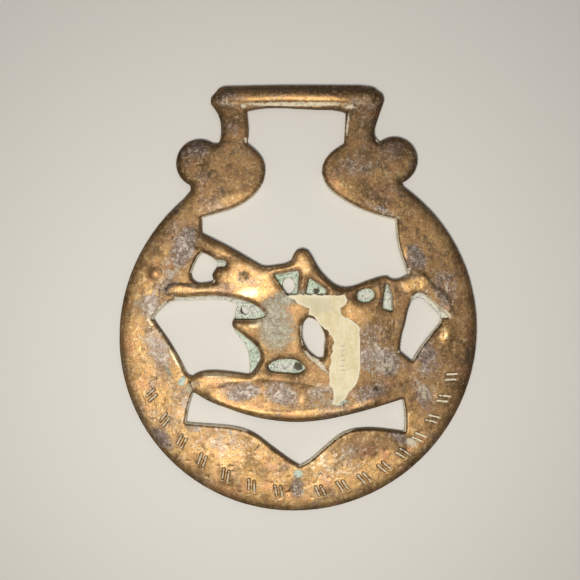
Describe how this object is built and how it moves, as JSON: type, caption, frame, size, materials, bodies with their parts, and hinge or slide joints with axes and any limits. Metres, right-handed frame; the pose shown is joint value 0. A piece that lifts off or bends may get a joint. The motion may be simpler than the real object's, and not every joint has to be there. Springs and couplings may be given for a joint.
{
  "type": "horse brass",
  "caption": "Flat cast openwork horse brass: a round ring with fretwork, lobed shoulders and a flared strap hanger, lying on its face with its plain back up.",
  "frame": {"origin": "under the middle of the outline, on the plane that the face lies on", "axes": "+Z out of the plain back, +Y from the ring towards the strap hanger, +X to the right of the back"},
  "size_m": [0.0758, 0.0904, 0.0033],
  "materials": {
    "brass": "aged cast brass, brown and olive with golden rubbed places and pale verdigris",
    "paper": "matt yellowed paper"
  },
  "bodies": {
    "root": {"brass_casting": "brass", "paper_label": "paper"}
  },
  "joints": []
}
